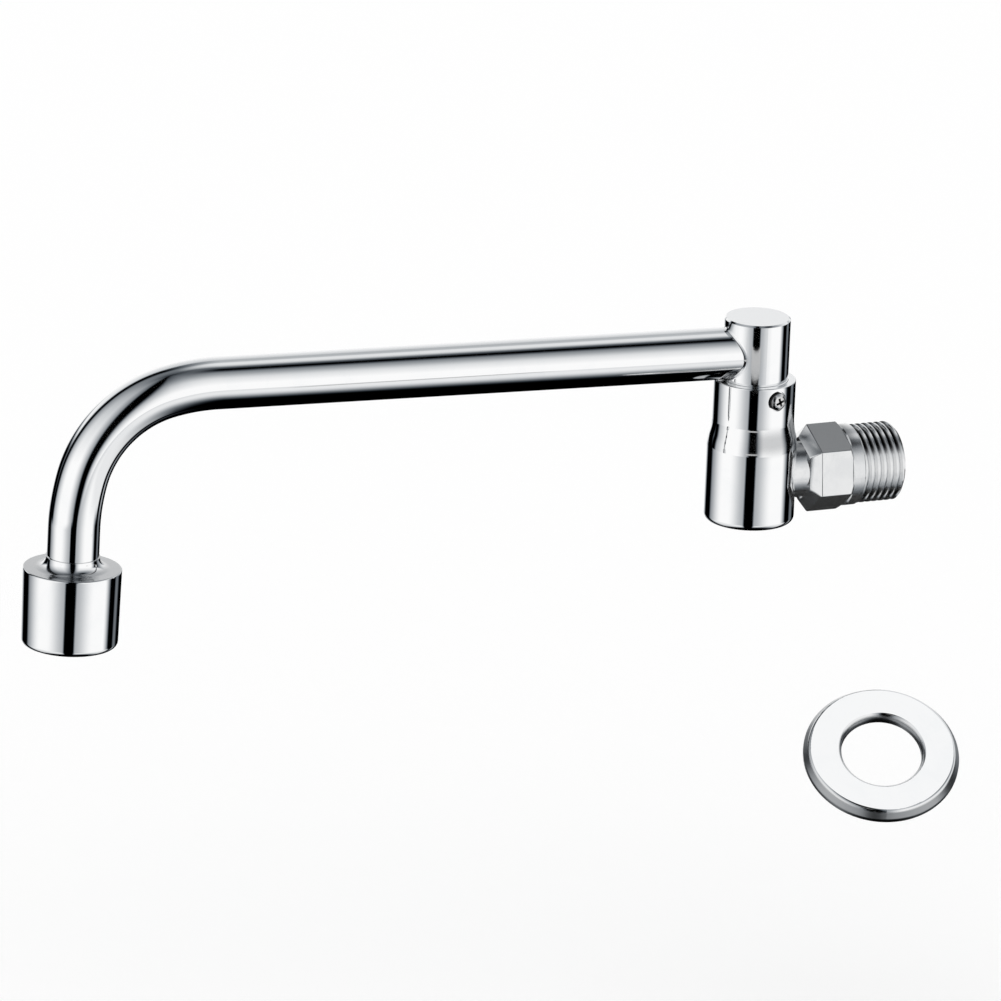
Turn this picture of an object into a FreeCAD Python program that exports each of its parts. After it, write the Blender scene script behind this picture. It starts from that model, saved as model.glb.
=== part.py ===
"""Wall-mounted swing spout tap, in millimetres.

The origin is the centre of the collar's wall-side face, where the inlet thread begins.
+Y runs along the thread into the wall, +Z is up, and the arm reaches out towards -Y.
Every piece is drawn about the swivel axis first, with z = 0 at the height of the inlet,
and is moved to its place in front of the wall when it is written.
"""
import FreeCAD, Part
import math
import os

from FreeCAD import Vector

# Inlet: G 1/2 pipe thread, collar, hexagon with a faceted cone, neck and spigot
thread_diameter = 20.955
thread_pitch = 1.814
thread_depth = 1.162
thread_length = 12.1
thread_end_chamfer = 0.9
thread_root_flat = 0.2
thread_flank_angle = 27.5
first_groove_distance = 1.12
collar_diameter = 21.6
collar_length = 3.5
collar_rounding = 0.3
hex_across_flats = 20.6
hex_length = 9.1
hex_turn = 6.3
cone_length = 2.4
neck_diameter = 15.0
neck_length = 1.9
spigot_diameter = 12.0
spigot_setback = 0.5
inlet_bore_diameter = 14.4

# Body: slim above, wider below a soft step
upper_wall = 2.05
step_out = 1.1
step_height = 4.0
step_rounding = 5.0
neck_to_step = 2.2
floor_thickness = 2.0
foot_rounding = 1.8
rim_chamfer = 0.35

# Spindle: turret above the rim, shank with its grooves inside the body
turret_diameter = 17.6
turret_crown = 2.65
turret_bevel = 0.45
waterway_diameter = 9.0
port_diameter = 4.8
groove_depth = 1.6
oring_cord = 1.6
oring_groove_height = 2.0
guide_ring_thickness = 1.0
guide_ring_height = 3.0
foot_land = 1.15
port_land = 0.7
guide_land = 1.7
seal_land = 2.6
stop_land = 2.7
rim_land = 2.3
washer_thickness = 0.8
washer_hole_diameter = 9.6

# Limit screw, and the groove that it stops in
screw_diameter = 2.5
screw_tip_diameter = 2.0
screw_head_diameter = 4.8
screw_head_height = 2.1
screw_counterbore_diameter = 5.6
screw_counterbore_depth = 0.8
screw_recess_width = 0.62
screw_recess_length = 2.5
screw_recess_depth = 1.1
screw_recess_turn = 20.0
screw_edge_drop = 0.7
screw_edge_rounding = 0.8
screw_dome_share = 0.62
screw_dome_rounding = 1.8
screw_heading = 10.5
stop_groove_depth = 1.2
swing_each_way = 90.0
rest_swing = -5.5

# Arm: one bent tube
tube_diameter = 13.9
tube_wall = 1.0
spout_reach = 188.0
bend_radius = 38.0
straight_below_bend = 7.4
tube_socket_depth = 3.8
braze_radius = 1.6
braze_film = 0.08
braze_rim_gap = 0.15

# Outlet head on the end of the tube
outlet_diameter = 26.3
outlet_taper = 0.35
outlet_height = 21.2
outlet_wall = 2.5
outlet_top_bevel = 0.45
outlet_foot_rounding = 1.5
flare_height = 3.2
flare_radius = 2.9
flare_lip = 0.3
tube_insertion = 1.9
ceiling_thickness = 2.4
gasket_thickness = 1.4
gasket_width = 2.9
aerator_ring_height = 4.9
aerator_ring_wall = 1.9
aerator_ring_lip = 0.8
aerator_ring_recess = 0.5
aerator_ring_chamfer = 0.3
aerator_barrel_wall = 1.2
aerator_flange_height = 1.3
aerator_flange_width = 0.9
aerator_plate_thickness = 1.5
aerator_jet_diameter = 1.2
aerator_jets = 16
jet_circle_share = 0.72
screen_thickness = 0.5
screen_hole = 0.9
screen_pitch = 1.35
grid_thickness = 1.2
grid_cell = 1.5
grid_web = 0.35
wrench_notch_width = 1.6
wrench_notch_depth = 0.8
wrench_notches = 4

# Inlet valve: rubber seat, spring, threaded retainer, strainer
seat_diameter = 7.8
seat_hole_diameter = 4.4
seat_length = 4.2
seat_pocket_diameter = 8.2
spring_wire = 0.7
spring_diameter = 7.0
spring_length = 7.9
spring_turns = 4.5
retainer_diameter = 12.4
retainer_length = 4.0
retainer_hole_diameter = 5.2
strainer_depth = 6.5
strainer_rim_height = 2.4
strainer_rim_width = 1.0
strainer_screen_thickness = 0.5

# Loose wall flange, standing apart below the inlet
flange_diameter = 41.4
flange_hole_clearance = 0.2
flange_sheet = 0.8
flange_rim_height = 1.2
flange_shoulder_height = 3.3
flange_crown_height = 4.0
flange_shoulder_inset = 1.3
flange_lip_height = 0.6
flange_edge_rounding = 0.7
flange_shoulder_rounding = 1.3
flange_lip_rounding = 2.0
flange_fold_rounding = 0.3
flange_to_side = 67.0
flange_to_front = 18.4
flange_drop = 59.0
flange_lean = 37.6
flange_heading = -17.7

# Clearances
running_clearance = 0.05
seal_clearance = 0.02
thread_fit = 0.02
swing_gap = 0.3
thrust_gap = 0.05
tip_gap = 0.3
stop_gap = 0.3
seat_fit = 0.1
overcut = 1.0

# Sizes that follow from the ones above
turret_r = turret_diameter / 2
bore_r = turret_r + running_clearance
upper_r = bore_r + upper_wall
lower_r = upper_r + step_out
tube_r = tube_diameter / 2
tube_bore_r = tube_r - tube_wall
neck_r = neck_diameter / 2
spigot_r = spigot_diameter / 2
waterway_r = waterway_diameter / 2
seal_r = bore_r - seal_clearance

# Heights along the swivel axis, counted from the inlet
guide_low = spigot_r + guide_land
guide_high = guide_low + guide_ring_height
middle_seal_low = guide_high + guide_land
middle_seal_high = middle_seal_low + oring_groove_height
upper_seal_low = middle_seal_high + seal_land
upper_seal_high = upper_seal_low + oring_groove_height
stop_low = upper_seal_high + stop_land
stop_height = screw_tip_diameter + 2 * tip_gap
stop_middle = stop_low + stop_height / 2
rim_z = stop_low + stop_height + rim_land
tube_z = rim_z + swing_gap + tube_r
turret_top = tube_z + tube_r + turret_crown
lower_seal_high = -spigot_r - port_land
lower_seal_low = lower_seal_high - oring_groove_height
shank_foot = lower_seal_low - foot_land
washer_top = shank_foot - thrust_gap
floor_z = washer_top - washer_thickness
body_foot = floor_z - floor_thickness
step_low = neck_r + neck_to_step
step_high = step_low + step_height

# Distances along the inlet, counted from the swivel axis
neck_end = lower_r + neck_length
cone_end = neck_end + cone_length
hex_end = cone_end + hex_length
collar_end = hex_end + collar_length
inlet_reach = collar_end + thread_length
spigot_end = turret_r + spigot_setback
seat_face = turret_r + 2 * seal_clearance
seat_back = seat_face + seat_length
spring_end = seat_back + spring_length
retainer_end = spring_end + retainer_length

# Heights along the outlet axis
flare_top = tube_z - bend_radius - straight_below_bend
outlet_top = flare_top - flare_height
tube_end = flare_top - tube_insertion
outlet_ceiling = outlet_top - ceiling_thickness
outlet_foot = outlet_top - outlet_height
ring_foot = outlet_foot + aerator_ring_recess
ring_top = ring_foot + aerator_ring_height
cavity_r = outlet_diameter / 2 - outlet_taper - outlet_wall
gasket_low = outlet_ceiling - gasket_thickness

UP = Vector(0, 0, 1)
TO_WALL = Vector(0, 1, 0)
OUT = Vector(0, -1, 0)
TO_SIDE = Vector(1, 0, 0)
ORIGIN = Vector(0, 0, 0)
HEX_SIDES = 6
QUARTER = 90


def corner_arc(before, corner, after, radius):
    """Start, middle and end of the arc that rounds a corner."""
    a = (before - corner).normalize()
    b = (after - corner).normalize()
    half = a.getAngle(b) / 2
    reach = radius / math.tan(half)
    bisector = (a + b).normalize()
    start = corner + a * reach
    end = corner + b * reach
    middle = corner + bisector * (radius / math.sin(half) - radius)
    return start, middle, end


def turned(corners):
    """Solid of revolution about Z from (radius, height) or (radius, height, rounding)."""
    points = [Vector(c[0], 0, c[1]) for c in corners]
    rounding = [c[2] if len(c) > 2 else 0 for c in corners]
    edges = []
    starts = []
    ends = []
    for i, corner in enumerate(points):
        if rounding[i]:
            after = points[(i + 1) % len(points)]
            start, middle, end = corner_arc(points[i - 1], corner, after, rounding[i])
            edges.append((i, Part.Arc(start, middle, end).toShape()))
        else:
            start = end = corner
        starts.append(start)
        ends.append(end)
    for i in range(len(points)):
        following = starts[(i + 1) % len(points)]
        if (following - ends[i]).Length > 1e-6:
            edges.append((i + 0.5, Part.makeLine(ends[i], following)))
    wire = Part.Wire([edge for _, edge in sorted(edges, key=lambda item: item[0])])
    return Part.Face(wire).revolve(ORIGIN, UP, 360)


def rod(radius, low, high, axis=UP):
    """Cylinder about an axis through the swivel axis, from one distance to another."""
    return Part.makeCylinder(radius, high - low, axis * low, axis)


def ring(outer, inner, low, high, axis=UP):
    return rod(outer, low, high, axis).cut(rod(inner, low - overcut, high + overcut, axis))


def hexagon(across_flats, height, turn=0):
    """Closed six-sided wire at a height, with a corner this many degrees from the Y axis."""
    corner_r = across_flats / 2 / math.cos(math.pi / HEX_SIDES)
    corners = []
    for i in range(HEX_SIDES + 1):
        angle = math.radians(QUARTER - turn + 360 * i / HEX_SIDES)
        corners.append(Vector(corner_r * math.cos(angle), corner_r * math.sin(angle), height))
    return Part.makePolygon(corners)


def along_inlet(shape):
    """Turn a shape drawn along +Z so that it lies along the inlet."""
    return shape.rotate(ORIGIN, TO_SIDE, -QUARTER)


def at_outlet(shape):
    """Move a shape drawn about Z to the outlet axis."""
    return shape.translate(OUT * spout_reach)


def grid_points(radius, pitch):
    """Centres of a triangular pattern inside a circle."""
    row_step = pitch * math.cos(math.pi / HEX_SIDES)
    rows = int(radius / row_step) + 1
    columns = int(radius / pitch) + 1
    points = []
    for row in range(-rows, rows + 1):
        for column in range(-columns, columns + 1):
            point = Vector((column + row % 2 / 2) * pitch, row * row_step, 0)
            if point.Length <= radius:
                points.append(point)
    return points


def perforated(plate, cutter, points):
    cutters = [cutter.translated(point) for point in points]
    return plate.cut(Part.makeCompound(cutters))


# Body


def body_housing():
    outside = turned([
        (0, body_foot),
        (lower_r, body_foot, foot_rounding),
        (lower_r, step_low, step_rounding),
        (upper_r, step_high, step_rounding),
        (upper_r, rim_z - rim_chamfer),
        (upper_r - rim_chamfer, rim_z),
        (0, rim_z),
    ])
    bore = turned([
        (0, floor_z),
        (bore_r, floor_z),
        (bore_r, rim_z - rim_chamfer),
        (bore_r + rim_chamfer, rim_z),
        (bore_r + rim_chamfer, rim_z + overcut),
        (0, rim_z + overcut),
    ])
    inlet_hole = rod(spigot_r, 0, lower_r + overcut, TO_WALL)
    body = outside.cut(bore).cut(inlet_hole)
    thread_hole = rod(screw_diameter / 2 + thread_fit, 0, upper_r + overcut, TO_SIDE)
    counterbore = rod(screw_counterbore_diameter / 2, upper_r - screw_counterbore_depth,
                      upper_r + overcut, TO_SIDE)
    screw_hole = thread_hole.fuse(counterbore)
    return body.cut(place_screw(screw_hole))


def place_screw(shape):
    shape = shape.translate(UP * stop_middle)
    return shape.rotate(ORIGIN, UP, screw_heading)


def limit_screw():
    seat = upper_r - screw_counterbore_depth
    tip_end = turret_r - stop_groove_depth + tip_gap
    head_r = screw_head_diameter / 2
    head_top = seat + screw_head_height
    dome = head_r * screw_dome_share
    screw = turned([
        (0, tip_end),
        (screw_tip_diameter / 2, tip_end),
        (screw_tip_diameter / 2, bore_r),
        (screw_diameter / 2, bore_r),
        (screw_diameter / 2, seat),
        (head_r, seat),
        (head_r, head_top - screw_edge_drop, screw_edge_rounding),
        (dome, head_top, screw_dome_rounding),
        (0, head_top),
    ])
    slot = Part.makeBox(screw_recess_length, screw_recess_width, screw_recess_depth + overcut,
                        Vector(-screw_recess_length / 2, -screw_recess_width / 2,
                               head_top - screw_recess_depth))
    recess = slot.fuse(slot.rotated(ORIGIN, UP, QUARTER)).rotated(ORIGIN, UP, screw_recess_turn)
    screw = screw.cut(recess)
    return place_screw(screw.rotate(ORIGIN, TO_WALL, QUARTER))


def thrust_washer():
    return ring(bore_r - running_clearance, washer_hole_diameter / 2, floor_z, washer_top)


# Spindle and its seals


def stop_groove():
    """Groove round the shank, as long as the swing and the tip of the screw."""
    floor_r = turret_r - stop_groove_depth
    reach = math.asin((screw_tip_diameter / 2 + stop_gap) / floor_r)
    sweep = 2 * (swing_each_way + math.degrees(reach))
    outer = Part.makeCylinder(turret_r + overcut, stop_height, UP * stop_low, UP, sweep)
    groove = outer.cut(rod(floor_r, stop_low - overcut, stop_low + stop_height + overcut))
    return groove.rotate(ORIGIN, UP, screw_heading - sweep / 2)


def seal_groove(low, height, depth):
    return ring(turret_r + overcut, turret_r - depth, low, low + height)


def swivel_spindle():
    spindle = turned([
        (waterway_r, shank_foot),
        (turret_r - turret_bevel, shank_foot),
        (turret_r, shank_foot + turret_bevel),
        (turret_r, turret_top - turret_bevel),
        (turret_r - turret_bevel, turret_top),
        (0, turret_top),
        (0, tube_z + tube_bore_r),
        (waterway_r, tube_z + tube_bore_r),
    ])
    guide_depth = guide_ring_thickness
    cuts = [
        rod(tube_bore_r, 0, turret_r + overcut, OUT).translate(UP * tube_z),
        rod(tube_r, turret_r - tube_socket_depth, turret_r + overcut, OUT).translate(UP * tube_z),
        rod(port_diameter / 2, 0, turret_r + overcut, TO_WALL),
        seal_groove(lower_seal_low, oring_groove_height, groove_depth),
        seal_groove(middle_seal_low, oring_groove_height, groove_depth),
        seal_groove(upper_seal_low, oring_groove_height, groove_depth),
        seal_groove(guide_low, guide_ring_height, guide_depth),
        stop_groove(),
    ]
    return spindle.cut(cuts)


def oring(groove_low):
    middle = groove_low + oring_groove_height / 2
    return Part.makeTorus(seal_r - oring_cord / 2, oring_cord / 2, UP * middle, UP)


def guide_ring():
    inner = turret_r - guide_ring_thickness + seal_clearance
    return ring(seal_r, inner, guide_low + seal_clearance, guide_high - seal_clearance)


# Arm


def spout_tube():
    start = OUT * (turret_r - tube_socket_depth) + UP * tube_z
    bend_start = OUT * (spout_reach - bend_radius) + UP * tube_z
    bend_end = OUT * spout_reach + UP * (tube_z - bend_radius)
    centre = OUT * (spout_reach - bend_radius) + UP * (tube_z - bend_radius)
    middle = centre + (OUT + UP).normalize() * bend_radius
    end = OUT * spout_reach + UP * tube_end
    path = Part.Wire([
        Part.makeLine(start, bend_start),
        Part.Arc(bend_start, middle, bend_end).toShape(),
        Part.makeLine(bend_end, end),
    ])
    outer = Part.Wire(Part.makeCircle(tube_r, start, OUT))
    inner = Part.Wire(Part.makeCircle(tube_bore_r, start, OUT))
    return path.makePipeShell([outer], True, True).cut(path.makePipeShell([inner], True, True))


def turret_with_stub(skin, stub_end):
    """The turret with a short straight piece of tube, both thicker by a skin."""
    turret = rod(turret_r + skin, rim_z, turret_top - turret_bevel)
    stub = rod(tube_r + skin, 0, stub_end, OUT).translate(UP * tube_z)
    return turret.fuse(stub)


def spout_braze():
    """Saddle fillet where the tube meets the turret, thinning out to a film at its edges."""
    reach = turret_r + braze_radius + braze_film
    joined = turret_with_stub(braze_film, reach + braze_radius)
    seam = []
    for edge in joined.Edges:
        middle = edge.valueAt((edge.FirstParameter + edge.LastParameter) / 2)
        from_axis = math.hypot(middle.x, middle.y) - turret_r - braze_film
        from_tube = math.hypot(middle.x, middle.z - tube_z) - tube_r - braze_film
        if abs(from_axis) < 0.01 and abs(from_tube) < 0.01 and middle.y < 0:
            seam.append(edge)
    filleted = joined.makeFillet(braze_radius, seam)
    collar = rod(tube_r + braze_radius, 0, reach, OUT).translate(UP * tube_z)
    around = collar.common(rod(reach, rim_z + braze_rim_gap, turret_top))
    return largest(filleted.common(around).cut(turret_with_stub(0, reach + 2 * braze_radius)))


def largest(shape):
    return max(shape.Solids, key=lambda solid: solid.Volume)


# Outlet head


def outlet_housing():
    top_r = outlet_diameter / 2
    foot_r = top_r - outlet_taper
    neck_lip = tube_r + flare_lip
    housing = turned([
        (tube_r, flare_top),
        (neck_lip, flare_top),
        (neck_lip, outlet_top, flare_radius),
        (top_r - outlet_top_bevel, outlet_top),
        (top_r, outlet_top - outlet_top_bevel),
        (foot_r, outlet_foot, outlet_foot_rounding),
        (cavity_r, outlet_foot),
        (cavity_r, outlet_ceiling),
        (tube_bore_r, outlet_ceiling),
        (tube_bore_r, tube_end),
        (tube_r, tube_end),
    ])
    return at_outlet(housing)


def aerator_gasket():
    outer = cavity_r - seat_fit
    return at_outlet(ring(outer, outer - gasket_width, gasket_low, outlet_ceiling))


def aerator_sizes():
    flange_r = cavity_r - seat_fit
    barrel_r = flange_r - aerator_flange_width
    inner_r = barrel_r - aerator_barrel_wall
    return flange_r, barrel_r, inner_r


def aerator_body():
    flange_r, barrel_r, inner_r = aerator_sizes()
    flange_low = gasket_low - aerator_flange_height
    plate_high = (flange_low + ring_top + aerator_plate_thickness) / 2
    plate_low = plate_high - aerator_plate_thickness
    rebate_r = inner_r + aerator_barrel_wall / 2
    barrel = turned([
        (0, plate_low),
        (inner_r, plate_low),
        (inner_r, ring_top),
        (barrel_r, ring_top),
        (barrel_r, flange_low),
        (flange_r, flange_low),
        (flange_r, gasket_low),
        (rebate_r, gasket_low),
        (rebate_r, gasket_low - screen_thickness),
        (inner_r, gasket_low - screen_thickness),
        (inner_r, plate_high),
        (0, plate_high),
    ])
    jet = rod(aerator_jet_diameter / 2, plate_low - overcut, plate_high + overcut)
    jets = []
    for i in range(aerator_jets):
        angle = 2 * math.pi * i / aerator_jets
        jets.append(Vector(math.cos(angle), math.sin(angle), 0) * (inner_r * jet_circle_share))
    return at_outlet(perforated(barrel, jet, jets))


def aerator_screen():
    inner_r = aerator_sizes()[2]
    outer = inner_r + aerator_barrel_wall / 2 - thread_fit
    low = gasket_low - screen_thickness
    disc = rod(outer, low, gasket_low)
    hole = rod(screen_hole / 2, low - overcut, gasket_low + overcut)
    return at_outlet(perforated(disc, hole, grid_points(inner_r - screen_hole, screen_pitch)))


def aerator_ring_inner():
    return cavity_r - thread_fit - aerator_ring_wall


def aerator_ring():
    outer = cavity_r - thread_fit
    inner = aerator_ring_inner()
    lip_r = inner - aerator_ring_lip
    lip_top = ring_foot + aerator_ring_lip
    body = turned([
        (lip_r, ring_foot),
        (outer - aerator_ring_chamfer, ring_foot),
        (outer, ring_foot + aerator_ring_chamfer),
        (outer, ring_top),
        (inner, ring_top),
        (inner, lip_top),
        (lip_r, lip_top),
    ])
    notch_start = outer - aerator_ring_wall / 2
    notch = Part.makeBox(outer, wrench_notch_width, wrench_notch_depth,
                         Vector(notch_start, -wrench_notch_width / 2, ring_foot))
    for i in range(wrench_notches):
        body = body.cut(notch.rotated(ORIGIN, UP, 360 * i / wrench_notches))
    return at_outlet(body)


def aerator_grid():
    low = ring_foot + aerator_ring_lip
    outer = aerator_ring_inner() - seat_fit
    disc = rod(outer, low, low + grid_thickness)
    cell = Part.Face(hexagon(grid_cell, low - overcut)).extrude(UP * (grid_thickness + 2 * overcut))
    opening_r = aerator_ring_inner() - aerator_ring_lip - grid_cell / 2
    return at_outlet(perforated(disc, cell, grid_points(opening_r, grid_cell + grid_web)))


# Inlet


def thread_grooves():
    """Grooves between the thread's ridges, as closed rings one pitch apart."""
    crest_r = thread_diameter / 2
    root_r = crest_r - thread_depth
    root_half = thread_root_flat / 2
    crest_half = root_half + thread_depth * math.tan(math.radians(thread_flank_angle))
    count = 1 + int((thread_length - first_groove_distance - crest_half) / thread_pitch)
    grooves = []
    for i in range(count):
        middle = collar_end + first_groove_distance + i * thread_pitch
        grooves.append(turned([
            (root_r, middle - root_half),
            (root_r, middle + root_half),
            (crest_r, middle + crest_half),
            (crest_r + overcut, middle + crest_half),
            (crest_r + overcut, middle - crest_half),
            (crest_r, middle - crest_half),
        ]))
    return grooves


def inlet_nipple():
    crest_r = thread_diameter / 2
    collar_r = collar_diameter / 2
    neck = rod(neck_r, 0, neck_end)
    cone = Part.makeLoft([hexagon(neck_diameter, neck_end, hex_turn),
                          hexagon(hex_across_flats, cone_end, hex_turn)], True, True)
    flats = Part.Face(hexagon(hex_across_flats, cone_end, hex_turn)).extrude(UP * hex_length)
    end = turned([
        (0, hex_end),
        (collar_r, hex_end, collar_rounding),
        (collar_r, collar_end, collar_rounding),
        (crest_r, collar_end),
        (crest_r, inlet_reach - thread_end_chamfer),
        (crest_r - thread_end_chamfer, inlet_reach),
        (0, inlet_reach),
    ])
    outside = along_inlet(neck.fuse([cone, flats, end.cut(thread_grooves())]))
    outside = outside.cut(rod(lower_r, -2 * neck_r, 2 * neck_r))
    spigot = rod(spigot_r, spigot_end, neck_end, TO_WALL)
    waterways = turned([
        (0, 0),
        (seat_pocket_diameter / 2, 0),
        (seat_pocket_diameter / 2, spring_end),
        (retainer_diameter / 2, spring_end),
        (retainer_diameter / 2, retainer_end),
        (inlet_bore_diameter / 2, retainer_end),
        (inlet_bore_diameter / 2, inlet_reach + overcut),
        (0, inlet_reach + overcut),
    ])
    return outside.fuse(spigot).removeSplitter().cut(along_inlet(waterways))


def valve_seat():
    low = turret_r - seat_length / 2
    seat = ring(seat_diameter / 2, seat_hole_diameter / 2, low, seat_back, TO_WALL)
    return seat.cut(rod(seat_face, -seat_diameter, seat_diameter))


def seat_spring():
    wire_r = spring_wire / 2
    coil_r = spring_diameter / 2 - wire_r
    height = spring_length - spring_wire - 2 * seal_clearance
    start = seat_back + wire_r + seal_clearance
    helix = Part.makeHelix(height / spring_turns, height, coil_r)
    section = Part.Wire(Part.makeCircle(wire_r, Vector(coil_r, 0, 0), Vector(0, 1, 0)))
    spring = Part.Wire(helix).makePipeShell([section], True, True)
    gap = height / spring_turns - spring_wire
    print("seat_spring: least gap between turns", round(gap, 2), "mm")
    return along_inlet(spring.translate(UP * start))


def seat_retainer():
    return ring(retainer_diameter / 2 - thread_fit, retainer_hole_diameter / 2,
                spring_end, retainer_end, TO_WALL)


def inlet_strainer():
    outer = inlet_bore_diameter / 2 - thread_fit
    inner = outer - strainer_rim_width
    high = inlet_reach - strainer_depth
    low = high - strainer_rim_height
    disc_top = high - strainer_screen_thickness
    rim = ring(outer, inner, low, high)
    disc = rod(inner, disc_top - strainer_screen_thickness, disc_top)
    hole = rod(screen_hole / 2, low - overcut, high + overcut)
    mesh = perforated(disc, hole, grid_points(inner - screen_hole, screen_pitch))
    return along_inlet(rim.fuse(mesh))


# Loose flange


def wall_flange():
    outer = flange_diameter / 2
    hole = thread_diameter / 2 + flange_hole_clearance
    sheet = flange_sheet
    shoulder = outer - flange_shoulder_inset
    flange = turned([
        (outer, 0),
        (outer, flange_rim_height, flange_edge_rounding),
        (shoulder, flange_shoulder_height, flange_shoulder_rounding),
        (hole, flange_crown_height, flange_lip_rounding),
        (hole, flange_lip_height),
        (hole + sheet, flange_lip_height),
        (hole + sheet, flange_crown_height - sheet, flange_lip_rounding - sheet),
        (shoulder - sheet, flange_shoulder_height - sheet, flange_shoulder_rounding - sheet),
        (outer - sheet, flange_rim_height - sheet / 2, flange_fold_rounding),
        (outer - sheet, 0),
    ])
    flange.rotate(ORIGIN, TO_WALL, flange_lean)
    flange.rotate(ORIGIN, UP, flange_heading)
    return flange.translate(Vector(flange_to_side, -flange_to_front, -flange_drop))


def on_arm(shape):
    """Swing a piece of the arm to its place at rest."""
    return shape.rotate(ORIGIN, UP, rest_swing)


def in_front_of_wall(shape):
    """Move a piece from the swivel axis to its place in front of the wall."""
    return shape.translate(TO_WALL * -collar_end)


fixed = {
    "body_housing": body_housing(),
    "limit_screw": limit_screw(),
    "thrust_washer": thrust_washer(),
    "inlet_nipple": inlet_nipple(),
    "valve_seat": valve_seat(),
    "seat_spring": seat_spring(),
    "seat_retainer": seat_retainer(),
    "inlet_strainer": inlet_strainer(),
}
arm = {
    "swivel_spindle": swivel_spindle(),
    "upper_oring": oring(upper_seal_low),
    "middle_oring": oring(middle_seal_low),
    "lower_oring": oring(lower_seal_low),
    "guide_ring": guide_ring(),
    "spout_tube": spout_tube(),
    "spout_braze": spout_braze(),
    "outlet_housing": outlet_housing(),
    "aerator_gasket": aerator_gasket(),
    "aerator_body": aerator_body(),
    "aerator_screen": aerator_screen(),
    "aerator_ring": aerator_ring(),
    "aerator_grid": aerator_grid(),
}

parts = {}
for name, shape in fixed.items():
    parts[name] = in_front_of_wall(shape)
for name, shape in arm.items():
    parts[name] = in_front_of_wall(on_arm(shape))
parts["wall_flange"] = wall_flange()

os.makedirs("parts", exist_ok=True)
for name, shape in parts.items():
    shape.exportStep("parts/" + name + ".step")
    box = shape.BoundBox
    print(name, "solids", len(shape.Solids), "valid", shape.isValid(), "volume", round(shape.Volume, 1),
          "x", round(box.XMin, 2), round(box.XMax, 2), "y", round(box.YMin, 2), round(box.YMax, 2),
          "z", round(box.ZMin, 2), round(box.ZMax, 2))
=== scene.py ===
# %% [markdown]
# A wall-mounted swing spout tap in polished chrome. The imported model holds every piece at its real
# size. This script loads it, gives each piece its finish, and models again, in finer mesh, the
# pieces whose bright curves carry the picture. Chrome has no colour of its own. What it shows
# is the room, so the light around the tap matters as much as its shape.

# %% Load the frame
import math

import bmesh
import bpy
from mathutils import Matrix, Vector


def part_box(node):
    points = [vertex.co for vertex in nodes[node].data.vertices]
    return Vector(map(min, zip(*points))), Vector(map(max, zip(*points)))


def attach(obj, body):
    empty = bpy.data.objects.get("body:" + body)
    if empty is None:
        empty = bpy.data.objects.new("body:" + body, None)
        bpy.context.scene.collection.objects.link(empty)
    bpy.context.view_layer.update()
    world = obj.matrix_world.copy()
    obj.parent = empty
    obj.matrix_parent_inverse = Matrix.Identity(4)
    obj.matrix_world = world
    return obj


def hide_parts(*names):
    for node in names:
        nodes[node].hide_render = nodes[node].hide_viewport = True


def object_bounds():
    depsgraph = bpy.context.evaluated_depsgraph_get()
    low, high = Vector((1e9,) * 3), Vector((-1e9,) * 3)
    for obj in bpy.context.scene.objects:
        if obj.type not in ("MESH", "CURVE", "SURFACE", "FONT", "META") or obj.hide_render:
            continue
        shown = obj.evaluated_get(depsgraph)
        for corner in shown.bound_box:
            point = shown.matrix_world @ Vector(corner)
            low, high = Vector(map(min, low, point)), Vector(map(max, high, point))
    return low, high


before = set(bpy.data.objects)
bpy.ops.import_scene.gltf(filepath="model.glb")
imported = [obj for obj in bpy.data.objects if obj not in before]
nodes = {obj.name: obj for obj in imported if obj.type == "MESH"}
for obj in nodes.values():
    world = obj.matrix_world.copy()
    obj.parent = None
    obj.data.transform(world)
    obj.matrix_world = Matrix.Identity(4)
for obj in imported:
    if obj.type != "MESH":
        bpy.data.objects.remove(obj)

cad_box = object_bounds()
MM = 0.001
print("nodes in the frame:", len(nodes))

# %% [markdown]
# Every shader here is a tree of nodes. One helper makes a node, sets its properties, and fills its
# inputs with plain values or links, so that a material reads as a list of what feeds what.

# %% A helper for node trees
def add_node(tree, kind, inputs=None, **settings):
    """Make a node; each input is a plain value, or a socket that is linked to it."""
    made = tree.nodes.new(kind)
    for name, value in settings.items():
        setattr(made, name, value)
    for name, value in (inputs or {}).items():
        if isinstance(value, bpy.types.NodeSocket):
            tree.links.new(value, made.inputs[name])
        else:
            made.inputs[name].default_value = value
    return made


def math_node(tree, operation, first, second=0.0):
    return add_node(tree, "ShaderNodeMath", {0: first, 1: second}, operation=operation).outputs[0]


def product(tree, *values):
    result = values[0]
    for value in values[1:]:
        result = math_node(tree, "MULTIPLY", result, value)
    return result


def scaled(tree, value, low):
    """Squeeze 0..1 into low..1."""
    return math_node(tree, "ADD", product(tree, value, 1.0 - low), low)


def vector_node(tree, operation, first, second=(0.0, 0.0, 0.0)):
    """A vector, or the single number of a dot product or a length."""
    made = add_node(tree, "ShaderNodeVectorMath", {0: first, 1: second}, operation=operation)
    return made.outputs["Value" if operation in ("DOT_PRODUCT", "LENGTH") else "Vector"]


def ramp(tree, value, start, end):
    """Smooth step from 0 at start to 1 at end."""
    made = add_node(tree, "ShaderNodeMapRange", {"Value": value, "From Min": start, "From Max": end},
                    interpolation_type="SMOOTHSTEP")
    return made.outputs[0]


def mix_values(tree, share, first, second):
    return add_node(tree, "ShaderNodeMix", {0: share, 2: first, 3: second}).outputs[0]


def mix_colours(tree, share, first, second):
    made = add_node(tree, "ShaderNodeMix", {0: share, 6: first, 7: second}, data_type="RGBA")
    return made.outputs[2]


# %% [markdown]
# The camera stands in front of the tap, to the right of it and a little above, a long way off
# and with a long lens, so that parallel edges stay nearly parallel. It leans slightly, which
# makes the tap climb towards the wall. The picture is square.

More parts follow.
